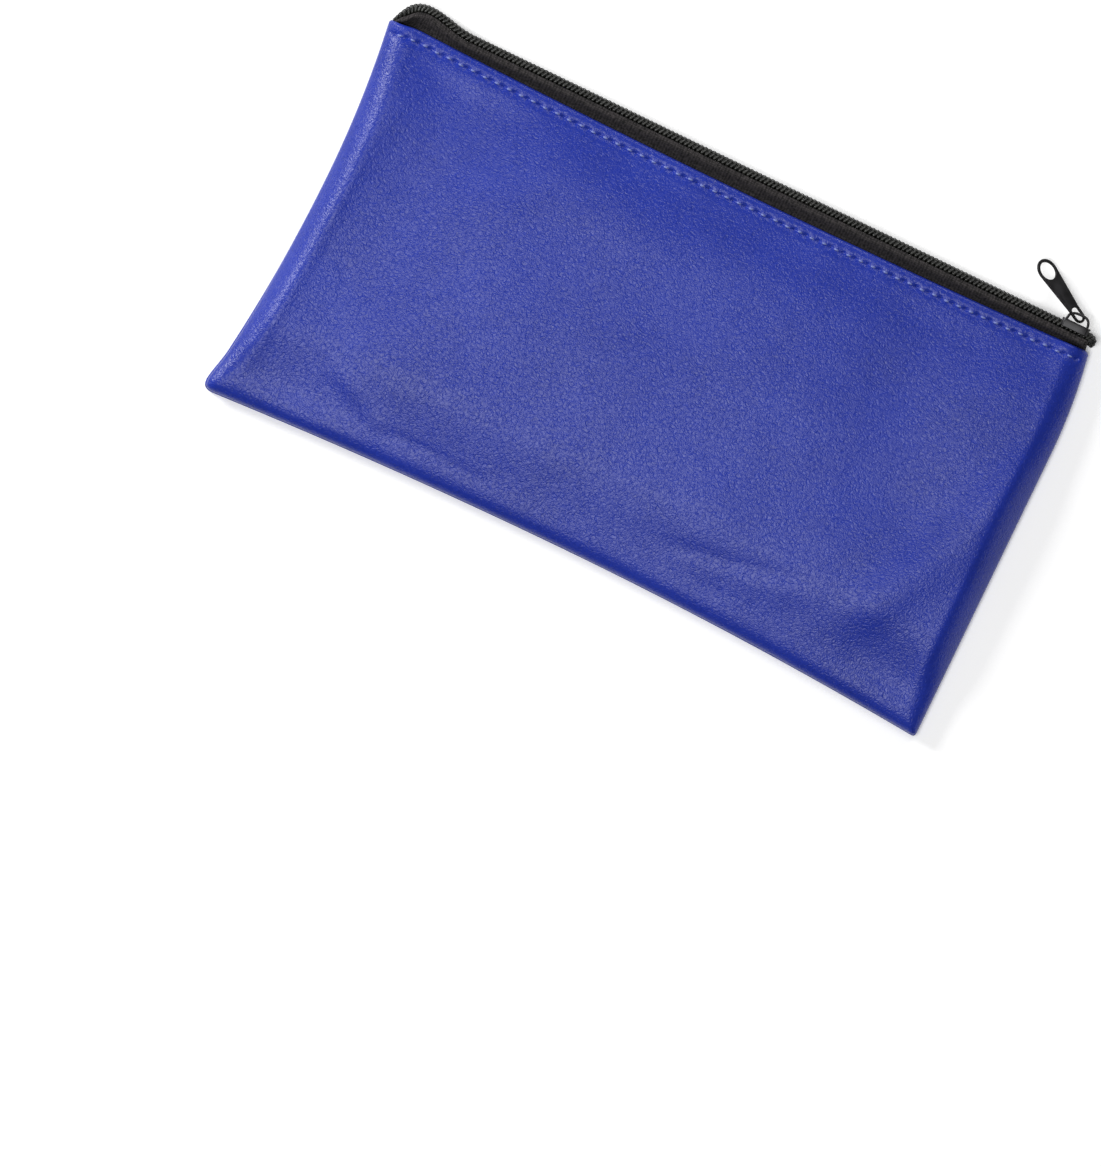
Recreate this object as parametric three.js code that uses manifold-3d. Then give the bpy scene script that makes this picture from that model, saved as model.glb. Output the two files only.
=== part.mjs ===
// Zipped cash deposit bag in leatherette, lying closed on its back panel.
// Millimetres. X runs along the zipper, +Y from the bottom seam to the zipper, +Z up through
// the bag. The origin is on the resting face, under the middle of the panels.
import * as THREE from 'three';
import { mergeVertices } from 'three/addons/utils/BufferGeometryUtils.js';
import Module from 'manifold-3d';

const wasm = await Module();
wasm.setup();

// ---- Driving dimensions ----
const bag = {
  halfLength: 139.7,     // bottom corners, an 11 in bag
  leftWaist: 6.6,        // how far the left edge draws in above its bottom corner
  leftWaistY: 15,
  leftSpan: 88,
  topRightDraw: 3.3,     // the right edge draws in below the zipper
  topRightFrom: 35,
  topRightSpan: 36,
  bottomY: -70.4,        // middle of the bottom seam
  bottomBow: 5.1,        // the bottom corners reach this much lower
  bottomSpan: 132,
  hemY: 70.6,            // middle of the folded hem
  hemBow: 1.6,
  hemSpan: 125,
};
const ply = 1.0;                 // leatherette thickness
const band = 2.0;                // two plies: folded hem and turned seam allowance
const seam = { allowance: 7, gap: 0.9, roll: 1.6, rollDrop: 0.9 };
const hem = { fold: 12, stitch: 4.0, groove: 1.0, grooveDepth: 0.9 };
const crown = 12.6;              // top of the front panel in the middle
const mouth = 11.4;              // top of the front hem
const sideRise = { low: 46, high: 15 };
const bottomRise = 42;
const step = 0.2;                // width of a step in a panel's thickness

const chain = {
  lineY: 78.9,           // outer face of the coils
  midZ: 5.6,             // mid-plane, where the two coils meet
  halfWidth: 3.0,
  halfGap: 0.6,          // clear way for the slider's post
  height: 3.0,
  tapeDepth: 3.2,        // outer face of the tape below the coils' outer face
};
const shoulder = { startX: -132.6, startY: 76.6, topX: -124.2, topY: 81.5, endX: -107.5 };
const closedEnd = { startX: 132.4, endX: 136.3, endY: 76.6 };
const tape = { thickness: 0.5, half: 5.0, hidden: 9.5, clearance: 0.35, reach: 129 };

const slider = {
  x: 127.7, length: 10.8, rear: 3.9, front: 4.3, plate: 0.7,
  topGap: 0.15,          // plate to coil
  innerHalf: 3.2,        // inside of the flanges
  flangeDrop: 2.25,      // flanges reach this far below the top plate's inner face
  channel: 4.0,          // clear height between the plates
  post: 1.0, postLength: 3.4,
  bottomHalf: 3.4,
};
const arch = { length: 8.8, bar: 0.85, width: 0.8, opening: 2.72 };
const tab = {
  reach: 26.0, thickness: 0.9, chamfer: 0.2,
  ringRadius: 1.95, rail: 0.9, slotEnd: 5.6,
  tipHalf: 4.1, holeAt: 21.4, holeLong: 3.4, holeWide: 3.15,
  pivotX: 1.3, pivotRise: 1.42,
  lift: 30,              // degrees above the direction that points back along the zipper
  tilt: 40,              // degrees that the face turns away from +Z, about its own length
};

const colours = { leatherette: 0x3a48a6, tape: 0x262627, coil: 0x1c1c1d, metal: 0x202124, thread: 0x8f99c4 };

// ---- Outline and height of the panels ----
const square = (v) => v * v;
const smooth = (v) => THREE.MathUtils.smoothstep(v, 0, 1);

const leftX = (y) => -bag.halfLength + bag.leftWaist * (1 - square((y - bag.leftWaistY) / bag.leftSpan));
const rightX = (y) => (
  bag.halfLength - bag.topRightDraw * square(Math.max(0, y - bag.topRightFrom) / bag.topRightSpan)
);
const bottomY = (x) => bag.bottomY - bag.bottomBow * square(x / bag.bottomSpan);
const hemY = (x) => bag.hemY + bag.hemBow * square(x / bag.hemSpan);

const seamTop = band * 2 + seam.gap;

// Distances from the four edges at a point of the panels.
function edgeDistances(x, y) {
  return { left: x - leftX(y), right: rightX(y) - x, bottom: y - bottomY(x), top: hemY(x) - y };
}

function frontTop(x, y) {
  const d = edgeDistances(x, y);
  const height = THREE.MathUtils.clamp(d.bottom / (d.bottom + d.top), 0, 1);
  const reach = THREE.MathUtils.lerp(sideRise.low, sideRise.high, height ** 3);
  const side = smooth(Math.min(d.left, d.right) / reach);
  const foot = smooth(d.bottom / bottomRise);
  const peak = THREE.MathUtils.lerp(crown, mouth, smooth((height - 0.6) / 0.4));
  return seamTop + (peak - seamTop) * side * foot;
}

// The turned edge is rounded: the outer faces draw together at the seam.
function roll(x, y) {
  const d = edgeDistances(x, y);
  const nearest = Math.min(d.left, d.right, d.bottom);
  return seam.rollDrop * (1 - THREE.MathUtils.clamp(nearest / seam.roll, 0, 1));
}

function inBand(x, y) {
  const d = edgeDistances(x, y);
  const close = step / 2;
  return Math.min(d.left, d.right, d.bottom) < seam.allowance + close || d.top < hem.fold + close;
}

function groove(x, y) {
  const offset = Math.abs(edgeDistances(x, y).top - hem.stitch);
  return offset < hem.groove / 2 - 0.01 ? hem.grooveDepth : 0;
}

const frontFace = (x, y) => frontTop(x, y) - roll(x, y) - groove(x, y);
const frontLining = (x, y) => frontTop(x, y) - (inBand(x, y) ? band : ply);
const backFace = (x, y) => roll(x, y) + groove(x, y);
const backLining = (x, y) => (inBand(x, y) ? band : ply);

// ---- Solids ----
function solid(points, faces) {
  const geometry = new THREE.BufferGeometry();
  geometry.setAttribute('position', new THREE.Float32BufferAttribute(points.flat(), 3));
  geometry.setIndex(faces.flat());
  return geometry;
}

// Closed shell between an upper and a lower surface over the panel's outline.
function panelShell(upper, lower) {
  const inset = [0, seam.roll, 4, seam.allowance, seam.allowance + step, 10, 13, 16, 24, 36, 52, 85];
  const width = 2 * bag.halfLength;
  const columns = [...inset.map((d) => d / width), 0.5, ...inset.map((d) => 1 - d / width).reverse()];
  const height = bag.hemY - bag.bottomY;
  const low = [0, seam.roll, seam.allowance, seam.allowance + step, 16, 28, 42, 62, 84, 106];
  const half = hem.groove / 2;
  const high = [
    hem.fold + step, hem.fold, hem.stitch + half + step, hem.stitch + half - 0.05,
    hem.stitch - half + 0.05, hem.stitch - half - step, 0,
  ];
  const rows = [...low.map((d) => d / height), ...high.map((d) => 1 - d / height)];

  const place = (s, t) => {
    let x = 0;
    let y = 0;
    for (let i = 0; i < 12; i++) {
      x = THREE.MathUtils.lerp(leftX(y), rightX(y), s);
      y = THREE.MathUtils.lerp(bottomY(x), hemY(x), t);
    }
    return [x, y];
  };
  const wide = columns.length;
  const tall = rows.length;
  const points = [];
  for (const surface of [upper, lower]) {
    for (const t of rows) {
      for (const s of columns) {
        const [x, y] = place(s, t);
        points.push([x, y, surface(x, y)]);
      }
    }
  }
  const at = (layer, j, i) => layer * wide * tall + j * wide + i;
  const faces = [];
  for (let j = 0; j < tall - 1; j++) {
    for (let i = 0; i < wide - 1; i++) {
      const [a, b, c, d] = [at(0, j, i), at(0, j, i + 1), at(0, j + 1, i + 1), at(0, j + 1, i)];
      const [e, f, g, h] = [at(1, j, i), at(1, j, i + 1), at(1, j + 1, i + 1), at(1, j + 1, i)];
      faces.push([a, b, c], [a, c, d], [e, g, f], [e, h, g]);
    }
  }
  const wall = (top1, top2, low1, low2) => faces.push([top1, low1, low2], [top1, low2, top2]);
  for (let i = 0; i < wide - 1; i++) {
    wall(at(0, 0, i), at(0, 0, i + 1), at(1, 0, i), at(1, 0, i + 1));
    wall(at(0, tall - 1, i + 1), at(0, tall - 1, i), at(1, tall - 1, i + 1), at(1, tall - 1, i));
  }
  for (let j = 0; j < tall - 1; j++) {
    wall(at(0, j + 1, 0), at(0, j, 0), at(1, j + 1, 0), at(1, j, 0));
    wall(at(0, j, wide - 1), at(0, j + 1, wide - 1), at(1, j, wide - 1), at(1, j + 1, wide - 1));
  }
  return solid(points, faces);
}

// Skins a row of sections, each a list of points in the same order, and caps both ends.
function skin(sections) {
  const count = sections[0].length;
  const points = sections.flat();
  const faces = [];
  for (let j = 0; j < sections.length - 1; j++) {
    for (let i = 0; i < count; i++) {
      const k = (i + 1) % count;
      const [a, b, c, d] = [j * count + i, j * count + k, (j + 1) * count + k, (j + 1) * count + i];
      faces.push([a, b, c], [a, c, d]);
    }
  }
  const last = (sections.length - 1) * count;
  for (const [at, turn] of [[0, -1], [last, 1]]) {
    const section = sections[at / count];
    const flat = flatten(section);
    for (const [a, b, c] of THREE.ShapeUtils.triangulateShape(flat, [])) {
      faces.push(turn > 0 ? [at + a, at + b, at + c] : [at + a, at + c, at + b]);
    }
  }
  return outward(solid(points, faces));
}

// A section's points in its own plane, for triangulating a cap.
function flatten(section) {
  const corner = new THREE.Vector3(...section[0]);
  const normal = new THREE.Vector3();
  for (let i = 0; i < section.length; i++) {
    const a = new THREE.Vector3(...section[i]).sub(corner);
    const b = new THREE.Vector3(...section[(i + 1) % section.length]).sub(corner);
    normal.add(a.cross(b));
  }
  normal.normalize();
  const across = new THREE.Vector3(...section[1]).sub(corner).normalize();
  const up = normal.clone().cross(across);
  return section.map((p) => {
    const arm = new THREE.Vector3(...p).sub(corner);
    return new THREE.Vector2(arm.dot(across), arm.dot(up));
  });
}

// Turns every face over if the solid's volume comes out negative.
function outward(geometry) {
  const position = geometry.getAttribute('position');
  const index = geometry.getIndex();
  const [a, b, c] = [new THREE.Vector3(), new THREE.Vector3(), new THREE.Vector3()];
  let volume = 0;
  for (let i = 0; i < index.count; i += 3) {
    a.fromBufferAttribute(position, index.getX(i));
    b.fromBufferAttribute(position, index.getX(i + 1));
    c.fromBufferAttribute(position, index.getX(i + 2));
    volume += a.dot(b.cross(c));
  }
  if (volume < 0) {
    for (let i = 0; i < index.count; i += 3) {
      const second = index.getX(i + 1);
      index.setX(i + 1, index.getX(i + 2));
      index.setX(i + 2, second);
    }
  }
  return geometry;
}

// ---- Zipper ----
// The chain's outer face: up over the left shoulder, straight, and down at the right end.
const chainPath = new THREE.Path();
const straightStations = [-90, -60, -30, 0, 30, 60, 90, 110, 115, 118, 121, 124, 127, 129.5];
chainPath.moveTo(shoulder.startX, shoulder.startY);
chainPath.bezierCurveTo(
  shoulder.startX + 1.2,
  shoulder.startY + 3.2,
  shoulder.topX - 4.4,
  shoulder.topY,
  shoulder.topX,
  shoulder.topY,
);
chainPath.bezierCurveTo(
  shoulder.topX + 6.2,
  shoulder.topY,
  shoulder.endX - 6.2,
  chain.lineY,
  shoulder.endX,
  chain.lineY,
);
for (const x of [...straightStations, closedEnd.startX]) {
  chainPath.lineTo(x, chain.lineY);
}
chainPath.bezierCurveTo(
  closedEnd.startX + 2.2,
  chain.lineY,
  closedEnd.endX - 0.5,
  closedEnd.endY + 1.6,
  closedEnd.endX,
  closedEnd.endY,
);

const chainStations = chainPath.getPoints(5).map((point, i, all) => {
  const before = all[Math.max(0, i - 1)];
  const after = all[Math.min(all.length - 1, i + 1)];
  const along = after.clone().sub(before).normalize();
  return { point, normal: new THREE.Vector2(-along.y, along.x) };
});

// side is +1 for the front of the bag and -1 for the back.
function alongChain(section, side) {
  return skin(chainStations.map(({ point, normal }) => section.map(([a, b]) => [
    point.x + normal.x * b,
    point.y + normal.y * b,
    chain.midZ + side * a,
  ])));
}

// A coil is a C round its filler cord, with a shallow track for its sewing on the outer face.
const coilTrack = { depth: 0.5, from: 1.6, to: 2.3 };
const coilChannel = { from: 1.3, to: 2.4, height: 1.0 };
const coilSection = [
  [chain.halfGap, 0],
  [coilTrack.from, 0],
  [coilTrack.from, -coilTrack.depth],
  [coilTrack.to, -coilTrack.depth],
  [coilTrack.to, 0],
  [chain.halfWidth, 0],
  [chain.halfWidth, -chain.height],
  [coilChannel.to, -chain.height],
  [coilChannel.to, coilChannel.height - chain.height],
  [coilChannel.from, coilChannel.height - chain.height],
  [coilChannel.from, -chain.height],
  [chain.halfGap, -chain.height],
];
const cordSection = [[1.6, -2.3], [2.1, -2.3], [2.1, -2.8], [1.6, -2.8]];
const coilSewingSection = [[1.8, -0.05], [2.1, -0.05], [2.1, -0.3], [1.8, -0.3]];

const tapeTop = (x, y, side) => (side > 0
  ? frontTop(x, y) - band - tape.clearance
  : band + tape.clearance);

// A tape lies flat under its coil, turns at its edge and runs down inside the hem.
function tapeSolid(side) {
  const wall = tape.thickness;
  const sections = chainStations.map(({ point, normal }) => {
    const near = (a, b) => [
      point.x + normal.x * b,
      point.y + normal.y * b,
      chain.midZ + side * a,
    ];
    const x = THREE.MathUtils.clamp(point.x, -tape.reach, tape.reach);
    const inside = (depth, inner) => {
      const y = hemY(x) - depth;
      return [x, y, tapeTop(x, Math.min(y, hemY(x)), side) - side * inner];
    };
    const depth = -chain.tapeDepth;
    return [
      near(chain.halfGap, depth),
      near(tape.half - 0.3, depth),
      near(tape.half, depth - 0.3),
      near(tape.half, depth - 1.4),
      inside(-0.4, 0),
      inside(tape.hidden, 0),
      inside(tape.hidden, wall),
      inside(-0.4, wall),
      near(tape.half - wall, depth - 1.5),
      near(tape.half - wall, depth - wall - 0.1),
      near(tape.half - wall - 0.1, depth - wall),
      near(chain.halfGap, depth - wall),
    ];
  });
  return skin(sections);
}

// ---- Threads ----
// A straight-sided thread along a row of centre points, its section upright.
function threadAlong(points, width, height) {
  return skin(points.map((p, i) => {
    const before = points[Math.max(0, i - 1)];
    const after = points[Math.min(points.length - 1, i + 1)];
    const along = new THREE.Vector2(after[0] - before[0], after[1] - before[1]).normalize();
    const [nx, ny] = [-along.y * width / 2, along.x * width / 2];
    const [low, high] = [p[2] - height / 2, p[2] + height / 2];
    return [
      [p[0] + nx, p[1] + ny, high],
      [p[0] + nx, p[1] + ny, low],
      [p[0] - nx, p[1] - ny, low],
      [p[0] - nx, p[1] - ny, high],
    ];
  }));
}

// Points along the hem's stitch line, closer together where the mouth falls to the side seams.
function hemRow(heightAt) {
  const inner = [0, 30, 60, 90, 110, 116, 118, 120, 122, 124, 126];
  const xs = [...inner.slice(1).map((x) => -x).reverse(), ...inner];
  return xs.map((x) => {
    const y = hemY(x) - hem.stitch;
    return [x, y, heightAt(x, y)];
  });
}

const hemThread = { width: 0.4, height: 0.25, sunk: 0.2, reach: 126, bobbinDrop: 0.45 };
const frontNeedleRow = hemRow((x, y) => frontTop(x, y) - hemThread.sunk);
const backNeedleRow = hemRow(() => hemThread.sunk);

// The bobbin thread lies on the inner face of the tape, under the needle thread.
function bobbinRow(side) {
  const xs = chainStations.map(({ point }) => point.x).filter((x) => Math.abs(x) < hemThread.reach);
  return xs.map((x) => {
    const edge = tapeTop(x, hemY(x), side);
    const hiddenEdge = tapeTop(x, hemY(x) - tape.hidden, side);
    const face = THREE.MathUtils.lerp(edge, hiddenEdge, hem.stitch / tape.hidden);
    return [x, hemY(x) - hem.stitch, face - side * (tape.thickness + hemThread.bobbinDrop)];
  });
}

// The closing seam runs down the left side, along the bottom and up the right side.
const closing = { inset: 2.2, cornerInset: 4, topY: 66, footY: -71, width: 0.5, height: 0.3 };
function seamRow() {
  const { inset, topY, footY } = closing;
  const z = band + seam.gap / 2;
  const reach = bag.halfLength - closing.cornerInset;
  const points = [];
  for (const t of [0, 0.2, 0.4, 0.6, 0.8, 0.97]) {
    const y = THREE.MathUtils.lerp(topY, footY, t);
    points.push([leftX(y) + inset, y, z]);
  }
  for (let i = 0; i <= 10; i++) {
    const x = THREE.MathUtils.lerp(-reach, reach, i / 10);
    points.push([x, bottomY(x) + inset, z]);
  }
  for (const t of [0.03, 0.2, 0.4, 0.6, 0.8, 1]) {
    const y = THREE.MathUtils.lerp(footY, topY, t);
    points.push([rightX(y) - inset, y, z]);
  }
  return points;
}

// ---- Slider and pull ----
function toManifold(geometry) {
  const bare = geometry.clone();
  bare.deleteAttribute('normal');
  bare.deleteAttribute('uv');
  const merged = mergeVertices(bare, 1e-4);
  return new wasm.Manifold(new wasm.Mesh({
    numProp: 3,
    vertProperties: new Float32Array(merged.getAttribute('position').array),
    triVerts: new Uint32Array(merged.getIndex().array),
  }));
}

function fromManifold(body) {
  const mesh = body.getMesh();
  const geometry = new THREE.BufferGeometry();
  geometry.setAttribute('position', new THREE.BufferAttribute(mesh.vertProperties, 3));
  geometry.setIndex(new THREE.BufferAttribute(mesh.triVerts, 1));
  return geometry;
}

function block(x0, x1, y0, y1, z0, z1) {
  const box = new THREE.BoxGeometry(x1 - x0, y1 - y0, z1 - z0);
  return toManifold(box.translate((x0 + x1) / 2, (y0 + y1) / 2, (z0 + z1) / 2));
}

// Plate seen along Y, drawn in X and Z, with its upper face at y.
function plateAt(outline, y, thickness) {
  const shape = new THREE.Shape(outline.map(([x, z]) => new THREE.Vector2(x, -z)));
  const plate = new THREE.ExtrudeGeometry(shape, { depth: thickness, bevelEnabled: false });
  return toManifold(plate.rotateX(-Math.PI / 2).translate(0, y - thickness, 0));
}

function sliderBody() {
  const half = slider.length / 2;
  const outline = (rear, front) => [
    [-half, -rear + 0.8], [-half + 1, -rear], [0.5, -front], [half - 1.2, -front],
    [half, -front + 1.4], [half, front - 1.4], [half - 1.2, front], [0.5, front],
    [-half + 1, rear], [-half, rear - 0.8],
  ];
  const innerTop = chain.lineY + slider.topGap;
  const top = innerTop + slider.plate;
  const innerBottom = innerTop - slider.channel;
  let body = plateAt(outline(slider.rear, slider.front), top, slider.plate + slider.flangeDrop);
  const hollow = block(-half - 1, half + 1, 0, innerTop, -slider.innerHalf, slider.innerHalf);
  body = body.subtract(hollow);
  const bottomOutline = outline(slider.bottomHalf, slider.bottomHalf + 0.1);
  body = body.add(plateAt(bottomOutline, innerBottom, slider.plate));
  const postEnd = half - 0.4;
  const postHalf = slider.post / 2;
  const post = [
    [postEnd - slider.postLength, 0], [postEnd - slider.postLength + 1, -postHalf],
    [postEnd, -postHalf], [postEnd, postHalf], [postEnd - slider.postLength + 1, postHalf],
  ];
  body = body.add(plateAt(post, innerTop + 0.2, slider.channel + 0.4));

  const outer = new THREE.Shape();
  const rise = arch.opening + arch.bar;
  const reach = arch.length / 2;
  outer.moveTo(-reach, -0.3);
  outer.lineTo(-reach, rise - 1.6);
  outer.quadraticCurveTo(-reach, rise, -reach + 1.8, rise);
  outer.lineTo(reach - 1.8, rise);
  outer.quadraticCurveTo(reach, rise, reach, rise - 1.6);
  outer.lineTo(reach, -0.3);
  const inner = new THREE.Path();
  inner.moveTo(-reach + arch.bar, 0);
  inner.lineTo(reach - arch.bar, 0);
  inner.lineTo(reach - arch.bar, arch.opening - 0.5);
  inner.lineTo(reach - arch.bar - 0.5, arch.opening);
  inner.lineTo(-reach + arch.bar + 0.5, arch.opening);
  inner.lineTo(-reach + arch.bar, arch.opening - 0.5);
  outer.holes.push(inner);
  const bail = new THREE.ExtrudeGeometry(outer, { depth: arch.width, bevelEnabled: false, curveSegments: 5 });
  body = body.add(toManifold(bail.translate(0, top, -arch.width / 2)));
  return fromManifold(body);
}

// The pull, drawn flat: the end of its ring is on the origin and its tip points along +X.
function pullTab() {
  const outer = tab.ringRadius + tab.rail / 2;
  const inner = tab.ringRadius - tab.rail / 2;
  const outline = new THREE.Shape();
  outline.moveTo(tab.slotEnd, -outer);
  outline.lineTo(tab.holeAt - 1.5, -tab.tipHalf);
  outline.ellipse(1.5, tab.tipHalf, tab.reach - tab.holeAt, tab.tipHalf, -Math.PI / 2, Math.PI / 2);
  outline.lineTo(tab.slotEnd, outer);
  outline.absarc(tab.ringRadius, 0, outer, Math.PI / 2, 3 * Math.PI / 2);
  const slot = new THREE.Path();
  slot.absarc(tab.ringRadius, 0, inner, Math.PI / 2, 3 * Math.PI / 2);
  slot.lineTo(tab.slotEnd - 0.9, -inner);
  slot.quadraticCurveTo(tab.slotEnd, -inner, tab.slotEnd, 0);
  slot.quadraticCurveTo(tab.slotEnd, inner, tab.slotEnd - 0.9, inner);
  const hole = new THREE.Path();
  hole.absellipse(tab.holeAt, 0, tab.holeLong, tab.holeWide, 0, 2 * Math.PI);
  outline.holes.push(slot, hole);
  const blade = new THREE.ExtrudeGeometry(outline, {
    depth: tab.thickness - 2 * tab.chamfer,
    bevelThickness: tab.chamfer,
    bevelSize: tab.chamfer,
    bevelOffset: -tab.chamfer,
    bevelSegments: 1,
    curveSegments: 7,
  });
  return fromManifold(toManifold(blade.translate(0, 0, tab.chamfer - tab.thickness / 2)));
}

// ---- Assembly ----
const part = new THREE.Group();

const finishes = {
  leatherette: { color: colours.leatherette, roughness: 0.55, metalness: 0 },
  tape: { color: colours.tape, roughness: 0.9, metalness: 0 },
  coil: { color: colours.coil, roughness: 0.45, metalness: 0 },
  metal: { color: colours.metal, roughness: 0.4, metalness: 0.6 },
  thread: { color: colours.thread, roughness: 0.8, metalness: 0 },
};

function addPiece(name, geometry, finish, parent = part) {
  const mesh = new THREE.Mesh(geometry, new THREE.MeshStandardMaterial(finishes[finish]));
  mesh.name = name;
  parent.add(mesh);
  return mesh;
}

addPiece('front_panel', panelShell(frontFace, frontLining), 'leatherette');
addPiece('back_panel', panelShell(backLining, backFace), 'leatherette');

for (const [name, side] of [['front', 1], ['back', -1]]) {
  addPiece(`${name}_zipper_tape`, tapeSolid(side), 'tape');
  addPiece(`${name}_coil`, alongChain(coilSection, side), 'coil');
  addPiece(`${name}_coil_cord`, alongChain(cordSection, side), 'tape');
  addPiece(`${name}_coil_sewing`, alongChain(coilSewingSection, side), 'tape');
}

const { width, height } = hemThread;
addPiece('front_hem_needle_thread', threadAlong(frontNeedleRow, width, height), 'thread');
addPiece('front_hem_bobbin_thread', threadAlong(bobbinRow(1), width, height), 'thread');
addPiece('back_hem_needle_thread', threadAlong(backNeedleRow, width, height), 'thread');
addPiece('back_hem_bobbin_thread', threadAlong(bobbinRow(-1), width, height), 'thread');
addPiece('closing_seam_thread', threadAlong(seamRow(), closing.width, closing.height), 'thread');

const runner = new THREE.Group();
runner.position.set(slider.x, 0, chain.midZ);
part.add(runner);
addPiece('slider_body', sliderBody(), 'metal', runner);

const plateTop = chain.lineY + slider.topGap + slider.plate;
const pull = addPiece('pull_tab', pullTab(), 'metal', runner);
pull.position.set(tab.pivotX, plateTop + tab.pivotRise, 0);
pull.rotation.order = 'ZXY';
pull.rotation.z = THREE.MathUtils.degToRad(180 - tab.lift);
pull.rotation.x = THREE.MathUtils.degToRad(tab.tilt);

export default part;
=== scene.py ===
import math
import bmesh
import bpy
from mathutils import Matrix, Vector, noise


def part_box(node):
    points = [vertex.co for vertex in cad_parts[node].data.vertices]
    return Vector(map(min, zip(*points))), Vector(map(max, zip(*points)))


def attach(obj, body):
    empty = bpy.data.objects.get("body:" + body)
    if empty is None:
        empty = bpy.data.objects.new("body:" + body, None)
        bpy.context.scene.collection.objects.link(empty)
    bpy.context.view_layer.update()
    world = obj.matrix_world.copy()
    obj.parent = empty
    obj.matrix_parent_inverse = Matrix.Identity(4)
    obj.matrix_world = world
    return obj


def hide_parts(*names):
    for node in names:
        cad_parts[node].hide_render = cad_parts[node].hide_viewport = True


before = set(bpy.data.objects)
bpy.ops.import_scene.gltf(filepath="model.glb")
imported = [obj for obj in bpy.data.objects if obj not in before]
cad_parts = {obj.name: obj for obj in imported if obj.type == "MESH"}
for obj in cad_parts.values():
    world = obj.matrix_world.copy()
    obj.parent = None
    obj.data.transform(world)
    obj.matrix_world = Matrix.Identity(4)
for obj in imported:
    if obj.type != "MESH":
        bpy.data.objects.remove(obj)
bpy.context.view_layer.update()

# A zipped cash bag in blue leatherette. Shapes are worked out in millimetres and turned to metres
# when a mesh is made. X runs along the zipper, +Y from the bottom seam to the zipper, +Z up.
mm = 0.001
sliderLow, sliderHigh = (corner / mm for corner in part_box("slider_body"))
bpy.ops.object.select_all(action="DESELECT")


# small helpers
def clamp(value, low=0.0, high=1.0):
    return min(high, max(low, value))


def lerp(start, end, t):
    return start + (end - start) * t


def smooth(value):
    t = clamp(value)
    return t * t * (3 - 2 * t)


def bell(distance, width):
    return math.exp(-(distance / width) ** 2)


def pick(*pieces):
    bpy.ops.object.select_all(action="DESELECT")
    for piece in pieces:
        piece.select_set(True)
    bpy.context.view_layer.objects.active = pieces[0]


def applyModifier(piece, kind, **settings):
    pick(piece)
    modifier = piece.modifiers.new(kind.lower(), kind)
    for name, value in settings.items():
        setattr(modifier, name, value)
    bpy.ops.object.modifier_apply(modifier=modifier.name)


def meshPiece(name, points, faces):
    used = sorted({index for face in faces for index in face})
    place = {old: new for new, old in enumerate(used)}
    mesh = bpy.data.meshes.new(name)
    corners = [Vector(points[i]) * mm for i in used]
    mesh.from_pydata(corners, [], [[place[i] for i in face] for face in faces])
    mesh.update()
    piece = bpy.data.objects.new(name, mesh)
    bpy.context.collection.objects.link(piece)
    return piece


def softShade(piece, degrees=None):
    pick(piece)
    if degrees is None:
        bpy.ops.object.shade_smooth()
    else:
        bpy.ops.object.shade_smooth_by_angle(angle=math.radians(degrees))


def finishPiece(piece, body, slotName, material, *nodes):
    piece.data.materials.clear()
    piece.data.materials.append(material)
    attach(piece, body)
    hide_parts(*nodes)


# Adds a closed tube to points and faces. wides holds the direction of the section's width at each point.
def addTube(points, faces, path, wides, halfWide, halfHigh, sides=6):
    first = len(points)
    count = len(path)
    for i, centre in enumerate(path):
        along = (path[min(i + 1, count - 1)] - path[max(i - 1, 0)]).normalized()
        wide = (wides[i] - along * wides[i].dot(along)).normalized()
        high = along.cross(wide)
        for k in range(sides):
            turn = 2 * math.pi * k / sides
            points.append(centre + wide * (halfWide * math.cos(turn)) + high * (halfHigh * math.sin(turn)))
    for i in range(count - 1):
        for k in range(sides):
            a = first + i * sides + k
            b = first + i * sides + (k + 1) % sides
            faces.append([a, b, b + sides, a + sides])
    faces.append([first + k for k in reversed(range(sides))])
    faces.append([first + (count - 1) * sides + k for k in range(sides)])


# camera: straight down, turned as the bag lies on the counter
viewPoint = {
    "turn": 25.75, "height": 12000, "aimX": 0.73, "aimY": -82.78, "frameWidth": 387.0, "sensor": 36.0,
}

cameraData = bpy.data.cameras.new("camera")
cameraData.sensor_fit = "HORIZONTAL"
cameraData.sensor_width = viewPoint["sensor"]
cameraData.lens = viewPoint["sensor"] * viewPoint["height"] / viewPoint["frameWidth"]
cameraData.clip_end = 30
camera = bpy.data.objects.new("camera", cameraData)
camera.location = Vector((viewPoint["aimX"], viewPoint["aimY"], viewPoint["height"])) * mm
camera.rotation_euler = (0, 0, math.radians(viewPoint["turn"]))
bpy.context.collection.objects.link(camera)
bpy.context.scene.camera = camera
print("camera made")


# materials
def hexColour(code):
    parts = [int(code[i:i + 2], 16) / 255 for i in (1, 3, 5)]
    linear = [p / 12.92 if p <= 0.04045 else ((p + 0.055) / 1.055) ** 2.4 for p in parts]
    return (*linear, 1)


def newMaterial(name):
    material = bpy.data.materials.new(name)
    material.use_nodes = True
    return material, material.node_tree.nodes["Principled BSDF"]


# Adds a node with its settings, and its inputs as values or as links from other nodes' outputs.
def addNode(material, kind, inputs=None, **settings):
    node = material.node_tree.nodes.new(kind)
    for name, value in settings.items():
        setattr(node, name, value)
    for name, value in (inputs or {}).items():
        if isinstance(value, bpy.types.NodeSocket):
            material.node_tree.links.new(value, node.inputs[name])
        else:
            node.inputs[name].default_value = value
    return node


def setRamp(node, *stops):
    ramp = node.color_ramp
    while len(ramp.elements) < len(stops):
        ramp.elements.new(0.5)
    for element, (position, colour) in zip(ramp.elements, stops):
        element.position = position
        element.color = colour


def link(material, output, node, name):
    material.node_tree.links.new(output, node.inputs[name])


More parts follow.
